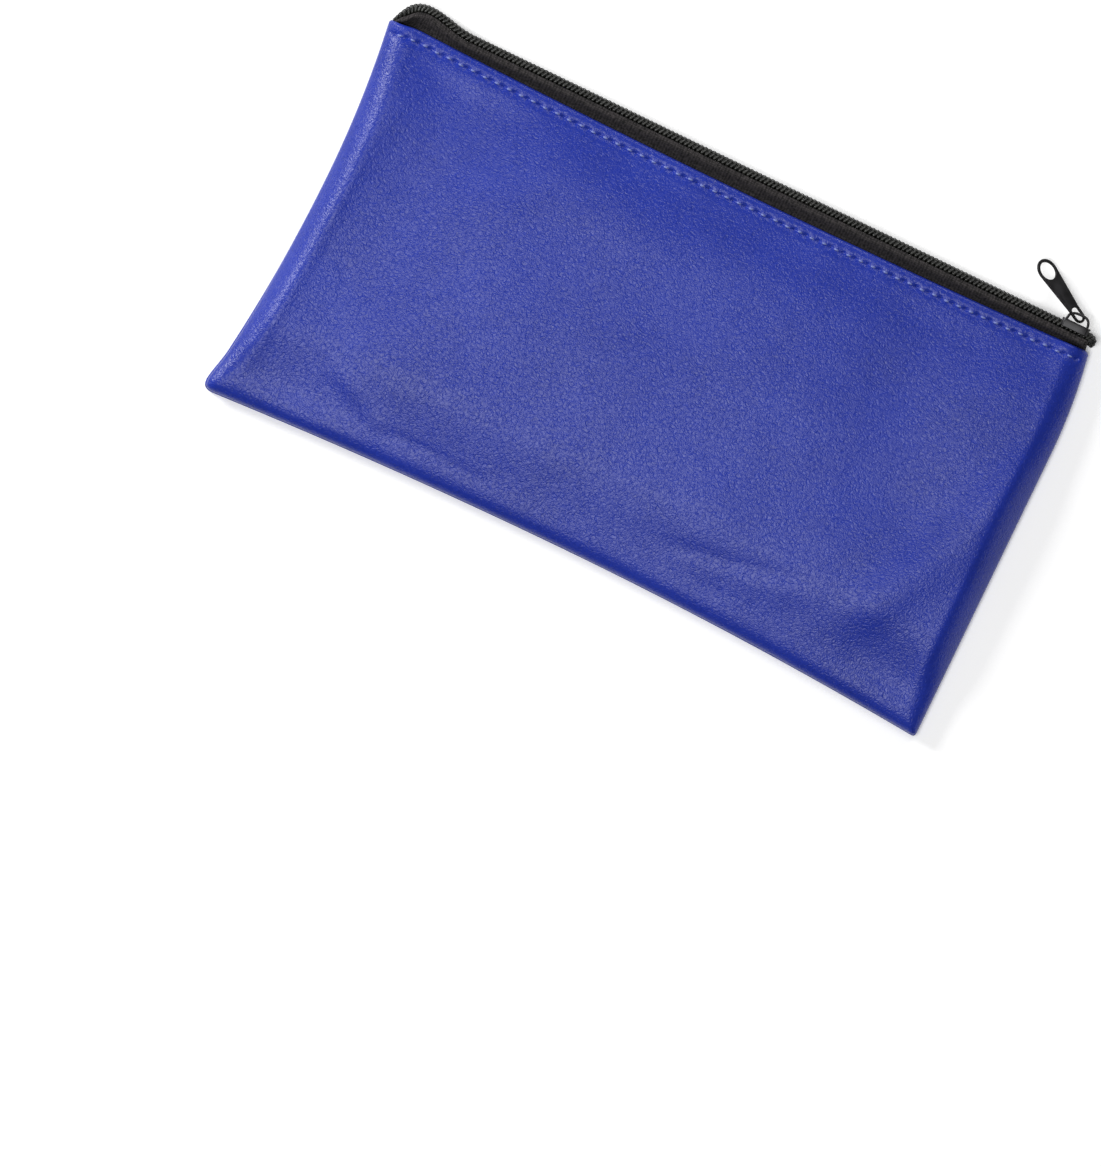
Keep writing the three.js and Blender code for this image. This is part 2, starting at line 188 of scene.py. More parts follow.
# PVC leatherette: embossed vinyl on a knitted back. Its grain is short wandering ridges, so the blue
# looks matt, with a broad pale sheen where light rakes it. The real grain is about 0.5 mm across and
# is drawn at 1.25 mm, so that it shows.
leatherLook = {
    "deep": "#162a8c", "base": "#192e97", "tip": "#1f349f",
    "roughness": 0.34, "specular": 0.37, "sheen": 0.02, "sheenRoughness": 0.4,
    "grain": 1.25, "pore": 0.7, "blotch": 26.0, "ridgeDepth": 3.0, "poreDepth": 0.25,
    "bump": 0.55, "emboss": 0.2,
}


def leatherMaterial():
    material, shader = newMaterial("embossed vinyl leatherette")
    where = addNode(material, "ShaderNodeTexCoord").outputs["Object"]
    ridges = addNode(material, "ShaderNodeTexNoise",
                     {"Vector": where, "Scale": 1 / (leatherLook["grain"] * mm), "Detail": 1.5,
                      "Distortion": 0.7})
    pores = addNode(material, "ShaderNodeTexVoronoi",
                    {"Vector": where, "Scale": 1 / (leatherLook["pore"] * mm)}, feature="SMOOTH_F1")
    blotch = addNode(material, "ShaderNodeTexNoise",
                     {"Vector": where, "Scale": 1 / (leatherLook["blotch"] * mm), "Detail": 2.0})
    folded = addNode(material, "ShaderNodeMath", {0: ridges.outputs["Fac"], 1: 0.5}, operation="SUBTRACT")
    worms = addNode(material, "ShaderNodeMath", {0: folded.outputs[0]}, operation="ABSOLUTE")
    deep = addNode(material, "ShaderNodeMath",
                   {0: worms.outputs[0], 1: leatherLook["ridgeDepth"]}, operation="MULTIPLY")
    pitted = addNode(material, "ShaderNodeMath",
                     {0: pores.outputs["Distance"], 1: leatherLook["poreDepth"]}, operation="MULTIPLY")
    grain = addNode(material, "ShaderNodeMath", {0: deep.outputs[0], 1: pitted.outputs[0]}, operation="ADD")
    tone = addNode(material, "ShaderNodeMath", {0: ridges.outputs["Fac"], 1: blotch.outputs["Fac"]},
                   operation="ADD")
    half = addNode(material, "ShaderNodeMath", {0: tone.outputs[0], 1: 0.5}, operation="MULTIPLY")
    colours = addNode(material, "ShaderNodeValToRGB", {"Fac": half.outputs[0]})
    setRamp(colours, (0.3, hexColour(leatherLook["deep"])), (0.5, hexColour(leatherLook["base"])),
            (0.7, hexColour(leatherLook["tip"])))
    bump = addNode(material, "ShaderNodeBump",
                   {"Height": grain.outputs[0], "Strength": leatherLook["bump"],
                    "Distance": leatherLook["emboss"] * mm})
    bump.invert = True
    link(material, colours.outputs["Color"], shader, "Base Color")
    link(material, bump.outputs["Normal"], shader, "Normal")
    shader.inputs["Roughness"].default_value = leatherLook["roughness"]
    shader.inputs["Specular IOR Level"].default_value = leatherLook["specular"]
    shader.inputs["Sheen Weight"].default_value = leatherLook["sheen"]
    shader.inputs["Sheen Roughness"].default_value = leatherLook["sheenRoughness"]
    return material


# A wave node at scale 1 repeats this many times in one unit.
wavesPerUnit = 3.2

# Woven polyester zipper tape: black ribs crossed by finer picks, dull. Its colour follows the weave's relief,
# with painted shade in the valleys and a painted highlight on the crowns of its yarns. The ribs are drawn 1.1
# mm apart, about twice as coarse as real ones, so that they show.
tapeLook = {
    # valley colour: painted shade in the weave's hollows; crown colour: painted highlight on the yarns' tops
    "paintedValleyShade": "#121112", "crown": "#403c3d", "roughness": 0.9, "specular": 0.3,
    "rib": 1.1, "pick": 0.7, "weave": 0.3, "bump": 0.9, "relief": 0.3,
}


def tapeMaterial():
    material, shader = newMaterial("woven polyester tape")
    where = addNode(material, "ShaderNodeUVMap", uv_map="weave").outputs["UV"]
    ribs = addNode(material, "ShaderNodeTexWave",
                   {"Vector": where, "Scale": 1 / (tapeLook["rib"] * wavesPerUnit), "Distortion": 3.5,
                    "Detail": 3.0},
                   bands_direction="X")
    picks = addNode(material, "ShaderNodeTexWave",
                    {"Vector": where, "Scale": 1 / (tapeLook["pick"] * wavesPerUnit), "Distortion": 0.6},
                    bands_direction="Y")
    fuzz = addNode(material, "ShaderNodeTexNoise",
                   {"Vector": where, "Scale": 0.8, "Detail": 4.0, "Distortion": 0.6})
    weave = addNode(material, "ShaderNodeMath", {0: ribs.outputs["Fac"], 1: picks.outputs["Fac"]},
                    operation="MULTIPLY")
    faint = addNode(material, "ShaderNodeMath", {0: weave.outputs[0], 1: tapeLook["weave"]},
                    operation="MULTIPLY")
    tone = addNode(material, "ShaderNodeMath", {0: faint.outputs[0], 1: fuzz.outputs["Fac"]}, operation="ADD")
    # the colour follows the bump's height: painted shade in the valleys, painted highlight on the crowns
    colours = addNode(material, "ShaderNodeValToRGB", {"Fac": tone.outputs[0]})
    setRamp(colours, (0.38, hexColour(tapeLook["paintedValleyShade"])), (0.85, hexColour(tapeLook["crown"])))
    bump = addNode(material, "ShaderNodeBump",
                   {"Height": tone.outputs[0], "Strength": tapeLook["bump"],
                    "Distance": tapeLook["relief"] * mm})
    link(material, colours.outputs["Color"], shader, "Base Color")
    link(material, bump.outputs["Normal"], shader, "Normal")
    shader.inputs["Roughness"].default_value = tapeLook["roughness"]
    shader.inputs["Specular IOR Level"].default_value = tapeLook["specular"]
    return material


# Nylon monofilament, extruded and wound: smooth and satin, near black, with soft highlights.
def coilMaterial():
    material, shader = newMaterial("nylon monofilament")
    where = addNode(material, "ShaderNodeTexCoord").outputs["Object"]
    tone = addNode(material, "ShaderNodeTexNoise", {"Vector": where, "Scale": 1 / (3 * mm), "Detail": 2.0})
    colours = addNode(material, "ShaderNodeValToRGB", {"Fac": tone.outputs["Fac"]})
    setRamp(colours, (0.35, hexColour("#161715")), (0.65, hexColour("#262723")))
    rough = addNode(material, "ShaderNodeMapRange",
                    {"Value": tone.outputs["Fac"], "To Min": 0.34, "To Max": 0.5})
    link(material, colours.outputs["Color"], shader, "Base Color")
    link(material, rough.outputs["Result"], shader, "Roughness")
    shader.inputs["IOR"].default_value = 1.53
    return material


# Spun polyester sewing thread: plies 0.3 mm apart twist round it, with a soft dull sheen. Its colour follows
# the plies' relief, with painted shade in the grooves between them and a painted highlight on their crowns.
threadLook = {"ply": 0.3, "relief": 0.08}


def threadMaterial(name, shade, light):
    material, shader = newMaterial(name)
    where = addNode(material, "ShaderNodeTexCoord").outputs["Object"]
    turned = addNode(material, "ShaderNodeMapping", {"Vector": where, "Rotation": (0, 0, math.radians(40))})
    plies = addNode(material, "ShaderNodeTexWave",
                    {"Vector": turned.outputs["Vector"],
                     "Scale": 1 / (threadLook["ply"] * mm * wavesPerUnit), "Distortion": 0.8})
    # painted shade between the plies, painted highlight on them, from the same wave as the bump
    colours = addNode(material, "ShaderNodeValToRGB", {"Fac": plies.outputs["Fac"]})
    setRamp(colours, (0.1, hexColour(shade)), (0.7, hexColour(light)))
    bump = addNode(material, "ShaderNodeBump",
                   {"Height": plies.outputs["Fac"], "Strength": 0.5, "Distance": threadLook["relief"] * mm})
    link(material, colours.outputs["Color"], shader, "Base Color")
    link(material, bump.outputs["Normal"], shader, "Normal")
    shader.inputs["Roughness"].default_value = 0.7
    shader.inputs["Sheen Weight"].default_value = 0.25
    return material


# Die-cast zinc, tumbled and stoved with black paint: satin, with faint orange peel and a little
# wear that lightens the tone in patches.
def metalMaterial():
    material, shader = newMaterial("black stoved zinc")
    where = addNode(material, "ShaderNodeTexCoord").outputs["Object"]
    peel = addNode(material, "ShaderNodeTexNoise", {"Vector": where, "Scale": 1 / (0.7 * mm), "Detail": 3.0})
    wear = addNode(material, "ShaderNodeTexNoise", {"Vector": where, "Scale": 1 / (4 * mm), "Detail": 4.0})
    colours = addNode(material, "ShaderNodeValToRGB", {"Fac": wear.outputs["Fac"]})
    setRamp(colours, (0.4, hexColour("#131214")), (0.7, hexColour("#29282b")))
    rough = addNode(material, "ShaderNodeMapRange",
                    {"Value": wear.outputs["Fac"], "To Min": 0.28, "To Max": 0.46})
    bump = addNode(material, "ShaderNodeBump",
                   {"Height": peel.outputs["Fac"], "Strength": 0.15, "Distance": 0.05 * mm})
    link(material, colours.outputs["Color"], shader, "Base Color")
    link(material, rough.outputs["Result"], shader, "Roughness")
    link(material, bump.outputs["Normal"], shader, "Normal")
    shader.inputs["Metallic"].default_value = 0.55
    return material


# Counter top: a near-white light table with the faintest mottle.
room = {"counterSize": 6, "counterDrop": 0.0002, "counterGlow": 0.22, "ambient": 0.12}


def counterMaterial():
    material, shader = newMaterial("opal light table")
    where = addNode(material, "ShaderNodeTexCoord").outputs["Object"]
    tone = addNode(material, "ShaderNodeTexNoise", {"Vector": where, "Scale": 8.0, "Detail": 2.0})
    colours = addNode(material, "ShaderNodeValToRGB", {"Fac": tone.outputs["Fac"]})
    setRamp(colours, (0.3, hexColour("#f6f6f6")), (0.7, hexColour("#fbfbfb")))
    link(material, colours.outputs["Color"], shader, "Base Color")
    shader.inputs["Roughness"].default_value = 0.7
    shader.inputs["Emission Color"].default_value = (1, 1, 1, 1)
    shader.inputs["Emission Strength"].default_value = room["counterGlow"]
    return material


leatherette = leatherMaterial()
wovenTape = tapeMaterial()
monofilament = coilMaterial()
# each thread gets a painted shade colour and a painted highlight colour for its plies
hemThread = threadMaterial("pale grey-blue sewing thread", "#5361a8", "#8593d2")
zipperThread = threadMaterial("black sewing thread", "#121212", "#2b2b2a")
blackZinc = metalMaterial()
print("materials made")


# outline of the bag, as it lies
bag = {
    "leftX": -132.1, "waistY": 15, "drawUp": 3.8, "drawUpSpan": 54, "drawDown": 5.0, "drawDownSpan": 75,
    "flare": 0.8, "flareFrom": -58, "flareSpan": 12,
    "rightX": 139.5, "topRightDraw": 3.3, "topRightFrom": 35, "topRightSpan": 36,
    "bottomY": -70.1, "bottomBowLeft": 3.9, "bottomBowRight": 5.3, "bottomSpan": 132,
    "hemY": 70.2, "hemBow": 1.9, "hemSpan": 125, "droop": 1.1, "droopFrom": -124, "droopSpan": 10,
    "ply": 1.0, "seamTop": 4.9,
    "crown": 12.2, "crownAt": 0.34,         # thickest a third of the way up
    "footFall": 1.0, "headFall": 2.2,
    "lowReach": 8, "highReach": 9, "bottomReach": 34,
    "roll": 0.62,           # mid-surface radius of the turned seams
    "allowance": 6.4, "puff": 3.1, "puffWidth": 2.0,
    "ease": 6,              # extra length of sheet that the swell and the turned edges take up
}
hem = {
    "draw": 1.3, "drawWidth": 14, "hang": 1.0, "roll": 0.6, "fold": 12, "stitch": 4.1, "pitch": 4.74,
    "reach": 133, "corner": 8.2, "hole": 1.1,
}


def leftEdge(y):
    up, down = max(0, y - bag["waistY"]), max(0, bag["waistY"] - y)
    draw = bag["drawUp"] * (up / bag["drawUpSpan"]) ** 2 + bag["drawDown"] * (down / bag["drawDownSpan"]) ** 2
    return bag["leftX"] - draw - bag["flare"] * smooth((bag["flareFrom"] - y) / bag["flareSpan"])


def rightEdge(y):
    return bag["rightX"] - bag["topRightDraw"] * (max(0, y - bag["topRightFrom"]) / bag["topRightSpan"]) ** 2


def bottomEdge(x):
    bow = bag["bottomBowLeft"] if x < 0 else bag["bottomBowRight"]
    return bag["bottomY"] - bow * (x / bag["bottomSpan"]) ** 2


def hemEdge(x):
    droop = bag["droop"] * smooth((bag["droopFrom"] - x) / bag["droopSpan"])
    return bag["hemY"] + bag["hemBow"] * (x / bag["hemSpan"]) ** 2 - droop


# Swells, hollows and creases of the front panel: from, to, bow, half width and rise. The narrow
# ones are creases, and fade out towards their ends.
folds = [
    ((-120, 55), (-128, 5), 0, 7, 0.5),
    ((-99, 45), (-110, -50), 0, 22, -1.6),
    ((134, 20), (107, -40), -4, 9, 1.3),
    ((88, 42), (97, 0), 0, 24, -0.9),
    ((-104, -47), (-72, -63), 2, 3.6, 0.4),
    ((-82, -61), (-30, -62), 1.5, 1.8, -0.35),
    ((24, -53), (88, -41), -1.5, 2.6, -0.35),
    ((30, -57), (92, -46), -1.5, 4.5, 0.25),
    ((112, -57), (136, -62), 0, 12, -1.1),
]


def foldDepth(x, y):
    depth = 0
    for (x0, y0), (x1, y1), bow, width, rise in folds:
        t = clamp(((x - x0) * (x1 - x0) + (y - y0) * (y1 - y0)) / ((x1 - x0) ** 2 + (y1 - y0) ** 2))
        lean = bow * 4 * t * (1 - t)
        fade = smooth(min(t, 1 - t) * 3.5) if width < 6 else 1
        away = math.hypot(x - lerp(x0, x1, t), y - lerp(y0, y1, t) - lean)
        depth += rise * fade * bell(away, width)
    return depth


# Height of the front panel's outer face.
def frontHeight(x, y):
    roll = bag["roll"]
    side = max(0, min(x - leftEdge(y), rightEdge(y) - x) - roll)
    foot = max(0, y - bottomEdge(x) - roll)
    head = max(0, hemEdge(x) - y)
    height = foot / (foot + head + 0.01)
    sideRise = smooth(side / lerp(bag["lowReach"], bag["highReach"], height ** 3))
    rise = sideRise * smooth(foot / bag["bottomReach"])
    crownAt = bag["crownAt"]
    if height < crownAt:
        peak = bag["crown"] - bag["footFall"] * (1 - height / crownAt) ** 2
    else:
        peak = bag["crown"] - bag["headFall"] * ((height - crownAt) / (1 - crownAt)) ** 2
    near = min(side, foot)
    z = bag["seamTop"] + (peak - bag["seamTop"]) * rise
    drawn = smooth(near / 14)       # the stitch line is drawn down, and the hem's edge hangs lower still
    below = head - hem["stitch"]
    z -= drawn * hem["draw"] * (bell(below, hem["drawWidth"]) if below > 0 else 1)
    z -= drawn * hem["hang"] * clamp(-below / hem["stitch"]) ** 1.5
    z += bag["puff"] * (1 - math.exp(-near / bag["puffWidth"])) * (1 - rise)
    inner = smooth(near / 12) * smooth(head / 16)
    z += inner * foldDepth(x, y)
    z += inner * 0.35 * noise.noise(Vector((x / 38, y / 30, 1.7)))
    z += smooth(near / 5) * 0.06 * noise.noise(Vector((x / 9, y / 9, 4.1)))
    return z


# How far the hem's stitches pull the sheet in. They draw it deepest at their holes.
def pucker(x, y):
    below = hemEdge(x) - y - hem["stitch"]
    if abs(below) > 6 or abs(x) > hem["reach"]:
        return 0
    hole = ((1 + math.cos(2 * math.pi * x / hem["pitch"])) / 2) ** 3
    return 0.3 * bell(below, 1.7) + (0.15 + hem["hole"] * hole) * bell(below, 0.85)


# panels: one sheet each, rolled over at the seams and folded in at the hem
def rollOver(arc, radius):
    if arc < 0:
        return -arc, 2 * radius
    turn = (math.pi * radius - arc) / radius
    return -radius * math.sin(turn), radius * (1 - math.cos(turn))


panelGrid = {
    "perStitch": 5, "row": 1.45, "rollSteps": 6, "corner": 1.4, "wornCorner": 4.2,
    "seamTucks": [bag["allowance"], 4.8, 3.2, 1.7, 0.7],
    "hemTucks": [hem["fold"], 9, 6.4, 5, hem["stitch"] - 0.6, 3.0, 1.6, 0.7],
    "nearHem": [0, 0.5, 1.0, 1.6, 2.2, 2.7, 3.1, 3.5, 3.9, 4.4, 5.0, 5.8, 6.8, 8.0],
}


def wrapSteps(depths, radius):
    steps = panelGrid["rollSteps"]
    return [-depth for depth in depths] + [math.pi * radius * k / steps for k in range(steps)]


def panelColumns():
    wrap = wrapSteps(panelGrid["seamTucks"], bag["roll"])
    spacing = hem["pitch"] / panelGrid["perStitch"]
    y = bag["hemY"] - hem["stitch"]
    low = leftEdge(y) + bag["roll"]
    high = rightEdge(y) - bag["roll"]
    count = int((high - 0.5) // spacing)
    face = [low] + [k * spacing for k in range(-count, count + 1) if k * spacing > low + 0.4] + [high]
    return ([("low", arc) for arc in wrap] + [("face", (x - low) / (high - low)) for x in face]
            + [("high", arc) for arc in reversed(wrap)])


def panelRows():
    low = wrapSteps(panelGrid["seamTucks"], bag["roll"])
    high = wrapSteps(panelGrid["hemTucks"], hem["roll"])
    span = bag["hemY"] - bag["bottomY"]
    count = int((span - 9) // panelGrid["row"])
    face = [0, 0.5] + [1.2 + k * (span - 10.5) / count for k in range(count + 1)]
    face = [d / span for d in face] + [1 - d / span for d in reversed(panelGrid["nearHem"])]
    return ([("low", arc) for arc in low] + [("face", t) for t in face]
            + [("high", arc) for arc in reversed(high)])


def panelPlace(column, row, lipSide, lipFoot):
    (across, u), (up, v) = column, row
    roll, top, skin = bag["roll"], hem["roll"], bag["ply"] / 2
    x = y = 0
    for _ in range(6):
        low, high = leftEdge(y) + roll + skin + lipSide(y), rightEdge(y) - roll - skin
        if across == "face":
            x, dropX = lerp(low, high, u), 0
        else:
            inward, dropX = rollOver(u, roll)
            x = low + inward if across == "low" else high - inward
        foot, head = bottomEdge(x) + roll + skin + lipFoot(x), hemEdge(x) - top - skin
        if up == "face":
            y, dropY = lerp(foot, head, v), 0
        else:
            inward, dropY = rollOver(v, roll if up == "low" else top)
            y = foot + inward if up == "low" else head - inward
    return x, y, dropX, dropY


# The seams' corners are rounded in plan, as a turned corner never comes out square.
def roundCorner(x, y, radius, wornRadius):
    for sideX, edgeX in ((-1, leftEdge(y)), (1, rightEdge(y))):
        for sideY, edgeY in ((-1, bottomEdge(x)), (1, hemEdge(x))):
            size = wornRadius if sideX + sideY == -2 else radius
            a = size - abs(edgeX - x)
            b = size - abs(edgeY - y)
            if a > 0 and b > 0 and (x - edgeX) * sideX <= 0 and (y - edgeY) * sideY <= 0:
                pull = max(a, b) / math.hypot(a, b)
                return edgeX - sideX * (size - a * pull), edgeY - sideY * (size - b * pull)
    return x, y


# Tucked-in strips are mitred where two of them meet in a corner.
def mitred(entry, crossing, limit):
    where, arc = entry
    if where == "face" or arc >= 0:
        return entry
    return where, arc * clamp((crossing - 0.25) / limit, 0.03, 1)


def makePanel(name, front):
    roll, ply, seamTop = bag["roll"], bag["ply"], bag["seamTop"]
    lipFoot = (lambda x: 0.35 + 0.15 * noise.noise(Vector((x / 30, 0, 7)))) if front else (lambda x: 0)
    lipSide = (lambda y: 0.5 * smooth((-10 - y) / 40)) if front else (lambda y: 0)
    columns, rows = panelColumns(), panelRows()
    points = []
    for row in rows:
        for column in columns:
            x, y, dropX, dropY = panelPlace(column, row, lipSide, lipFoot)
            if column[0] != "face" and column[1] < 0:
                space = min(y - bottomEdge(x), hemEdge(x) - y) - roll
                trimmed = mitred(column, space, bag["allowance"])
                x, y, dropX, dropY = panelPlace(trimmed, row, lipSide, lipFoot)
            elif row[0] == "low" and row[1] < 0:
                space = min(x - leftEdge(y), rightEdge(y) - x) - roll
                trimmed = mitred(row, space, bag["allowance"])
                x, y, dropX, dropY = panelPlace(column, trimmed, lipSide, lipFoot)
            tucked = (column[0] != "face" and column[1] < 0) or (row[0] == "low" and row[1] < 0)
            folded = row[0] == "high" and row[1] < 0
            drop = max(dropX, dropY)
            draw = pucker(x, y) * (0.7 if folded else 1)
            if row[0] == "high" and row[1] >= 0:
                draw = 0
            if front:
                z = seamTop - 2 * roll if tucked else frontHeight(x, y) - drop - draw
                z -= ply / 2
            else:
                lift = 0 if tucked else 0.5 * max(0, noise.noise(Vector((x / 45, y / 35, 9)))) * smooth(
                    min(x - leftEdge(y), rightEdge(y) - x, y - bottomEdge(x), hemEdge(x) - y) / 15)
                z = (2 * roll if tucked else drop + draw + lift) + ply / 2
            x, y = roundCorner(x, y, panelGrid["corner"], panelGrid["wornCorner"])
            points.append(Vector((x, y, z)))
    wide = len(columns)
    faces = []
    for j in range(len(rows) - 1):
        for i in range(wide - 1):
            pair = [columns[i], columns[i + 1]]
            lines = [rows[j], rows[j + 1]]
            wrapX = any(c[0] != "face" for c in pair)
            wrapY = any(r[0] != "face" for r in lines)
            underX = any(c[0] != "face" and c[1] < 0 for c in pair)
            underY = any(r[0] != "face" and r[1] < 0 for r in lines)
            if (underX and wrapY) or (underY and wrapX):
                continue
            corner = points[j * wide + i]
            hemUnder = any(r[0] == "high" and r[1] < 0 for r in lines)
            inset = min(corner.x - leftEdge(corner.y), rightEdge(corner.y) - corner.x)
            if hemUnder and inset < hem["corner"]:
                continue
            a, b = j * wide + i, (j + 1) * wide + i
            quad = [a, a + 1, b + 1, b]
            faces.append(quad if front else quad[::-1])
    piece = meshPiece(name, points, faces)
    applyModifier(piece, "SOLIDIFY", thickness=ply * mm, offset=0, use_quality_normals=True)
    for vert in piece.data.vertices:
        vert.co.z = max(0, vert.co.z)
    softShade(piece)
    return piece


frontPanel = makePanel("front_leatherette_panel", True)
finishPiece(frontPanel, "bag", "leatherette", leatherette, "front_panel")
backPanel = makePanel("back_leatherette_panel", False)
finishPiece(backPanel, "bag", "leatherette", leatherette, "back_panel")
print("panels made", len(frontPanel.data.polygons))


# zipper chain: the line of its outer face, up over the left shoulder and down at the right end
chain = {
    "lineY": 78.9, "midZ": 5.6, "pitch": 1.635, "outer": 3.0, "inner": 0.24, "height": 3.1,
    "wireWide": 0.98, "wireHigh": 0.72, "sunk": 0.12, "slant": 0.7, "stepsPerTurn": 16,
    "endDrop": 2.4, "endPinch": 0.45, "endRun": 9, "leftTurn": 0.68, "rightTurn": 0.2, "dip": 0.32,
    "straightFrom": -107.0, "straightTo": 132.4,
}


def bezier(a, b, c, d, steps=24):
    a, b, c, d = Vector(a), Vector(b), Vector(c), Vector(d)
    line = []
    for k in range(steps):
        t = k / steps
        line.append(a * (1 - t) ** 3 + b * 3 * t * (1 - t) ** 2 + c * 3 * t * t * (1 - t) + d * t ** 3)
    return line


def chainLine():
    y, left, right = chain["lineY"], chain["straightFrom"], chain["straightTo"]
    line = bezier((-135.4, 70.2), (-135.2, 72.0), (-134.4, 74.2), (-133.2, 76.4))
    line += bezier((-133.2, 76.4), (-131.6, 79.6), (-128.8, 81.5), (-124.2, 81.5))
    line += bezier((-124.2, 81.5), (-118, 81.5), (-113.5, y), (left, y))
    line += [Vector((lerp(left, right, k / 60), y)) for k in range(60)]
    line += bezier((right, y), (134.6, y), (136.5, 78.2), (136.7, 76.4))
    line += bezier((136.7, 76.4), (136.9, 74.8), (136.0, 73.7), (134.9, 73.0))
    return line + [Vector((134.9, 73.0))]


chainPoints = chainLine()
chainLengths = [0]
for before, after in zip(chainPoints, chainPoints[1:]):
    chainLengths.append(chainLengths[-1] + (after - before).length)
chainLength = chainLengths[-1]


def chainSpot(s):
    s = clamp(s, 0, chainLength)
    low, high = 0, len(chainLengths) - 1
    while high - low > 1:
        middle = (low + high) // 2
        if chainLengths[middle] <= s:
            low = middle
        else:
            high = middle
    t = (s - chainLengths[low]) / (chainLengths[high] - chainLengths[low])
    return chainPoints[low].lerp(chainPoints[high], t)


# Place, direction along and direction outwards of the chain at a length along it.
def chainAt(s):
    along = (chainSpot(s + 0.5) - chainSpot(s - 0.5)).normalized()
    return chainSpot(s), along, Vector((-along.y, along.x))


def endPart(s):
    return smooth(1 - min(s, chainLength - s) / chain["endRun"])


# A point beside the chain: a across from its mid-plane, b outwards from its outer face.
def besideChain(s, a, b, side):
    spot, along, out = chainAt(s)
    sink = endPart(s)
    b *= 1 - sink * (chain["leftTurn"] if s < chainLength / 2 else chain["rightTurn"])
    z = chain["midZ"] - chain["endDrop"] * sink + side * a * (1 - chain["endPinch"] * sink)
    return Vector((spot.x + out.x * b, spot.y + out.y * b, z))


def alongVector(s):
    along = chainAt(s)[1]
    return Vector((along.x, along.y, 0))


def makeCoil(name, side):
    halfHigh = chain["wireHigh"] / 2
    centreA = (chain["outer"] + chain["inner"]) / 2
    radiusA = (chain["outer"] - chain["inner"]) / 2 - halfHigh
    centreB = -(chain["height"] + chain["sunk"]) / 2
    radiusB = (chain["height"] - chain["sunk"]) / 2 - halfHigh
    turns = int(chainLength / chain["pitch"]) - 1
    path, wides = [], []
    for k in range(turns * chain["stepsPerTurn"] + 1):
        turn = 2 * math.pi * k / chain["stepsPerTurn"]
        cos, sin = math.cos(turn), math.sin(turn)
        a = centreA + radiusA * math.copysign(abs(cos) ** 0.7, cos) - chain["dip"] * max(0, cos) ** 8
        b = centreB + radiusB * math.copysign(abs(sin) ** 0.7, sin)
        s = 1.2 + chain["pitch"] * turn / (2 * math.pi) + chain["slant"] * sin * max(0, cos)
        s += chain["pitch"] / 2 if side < 0 else 0
        path.append(besideChain(s, a, b, side))
        wides.append(alongVector(s))
    points, faces = [], []
    addTube(points, faces, path, wides, chain["wireWide"] / 2, halfHigh, 6)
    piece = meshPiece(name, points, faces)
    outwards(piece)
    softShade(piece)
    return piece


def outwards(piece):
    pick(piece)
    bpy.ops.object.mode_set(mode="EDIT")
    bpy.ops.mesh.select_all(action="SELECT")
    bpy.ops.mesh.normals_make_consistent(inside=False)
    bpy.ops.object.mode_set(mode="OBJECT")


# A filler cord of three twisted plies lies inside each coil.
def makeFiller(name, side):
    centreA = (chain["outer"] + chain["inner"]) / 2
    centreB = -(chain["height"] + chain["sunk"]) / 2
    sides, step = 9, 1.0
    count = int((chainLength - 4) / step)
    points, faces = [], []
    for i in range(count + 1):
        s = 2 + i * step
        for k in range(sides):
            turn = 2 * math.pi * k / sides
            lobe = 1 + 0.12 * math.cos(3 * turn - s * 1.3)
            points.append(besideChain(s, centreA + 0.55 * lobe * math.cos(turn),
                                      centreB + 0.3 * lobe * math.sin(turn), side))
    for i in range(count):
        for k in range(sides):
            a, b = i * sides + k, i * sides + (k + 1) % sides
            faces.append([a, b, b + sides, a + sides])
    faces.append(list(range(sides)))
    faces.append([count * sides + k for k in range(sides)])
    piece = meshPiece(name, points, faces)
    outwards(piece)
    softShade(piece)
    return piece


# Two rows of thread bind each coil to its tape: they ride over every turn and dip between turns.
binding = {"rows": (1.3, 2.1), "steps": 6, "ends": 3, "dip": 0.14, "wide": 0.14, "high": 0.1}


def makeCoilSewing(name, side):
    points, faces = [], []
    steps = binding["steps"]
    count = int((chainLength - 2 * binding["ends"]) / chain["pitch"]) * steps
    for a in binding["rows"]:
        path, wides = [], []
        for k in range(count + 1):
            s = binding["ends"] + chain["pitch"] * k / steps
            lift = math.cos(2 * math.pi * k / steps)
            path.append(besideChain(s, a, -binding["dip"] * (1 - lift), side))
            wides.append(Vector((0, 0, 1)))
        addTube(points, faces, path, wides, binding["wide"], binding["high"], 5)
    piece = meshPiece(name, points, faces)
    outwards(piece)
    softShade(piece)
    return piece


# zipper tapes: flat under the coil, turned at the edge, down inside the hem
tapeShape = {
    "width": 19, "thickness": 0.5, "edge": 3.6, "under": 3.25, "hidden": 9.5, "gap": 0.38,
    "reach": 129, "corner": 133, "step": 1.2, "clear": 0.35,
}


def smoothLine(controls, perSpan=3):
    line = []
    count = len(controls)
    for i in range(count - 1):
        p0, p1 = controls[max(0, i - 1)], controls[i]
        p2, p3 = controls[i + 1], controls[min(count - 1, i + 2)]
        for k in range(perSpan):
            t = k / perSpan
            line.append(0.5 * (2 * p1 + (p2 - p0) * t + (2 * p0 - 5 * p1 + 4 * p2 - p3) * t * t
                               + (3 * p1 - p0 - 3 * p2 + p3) * t ** 3))
    return line + [controls[-1]]


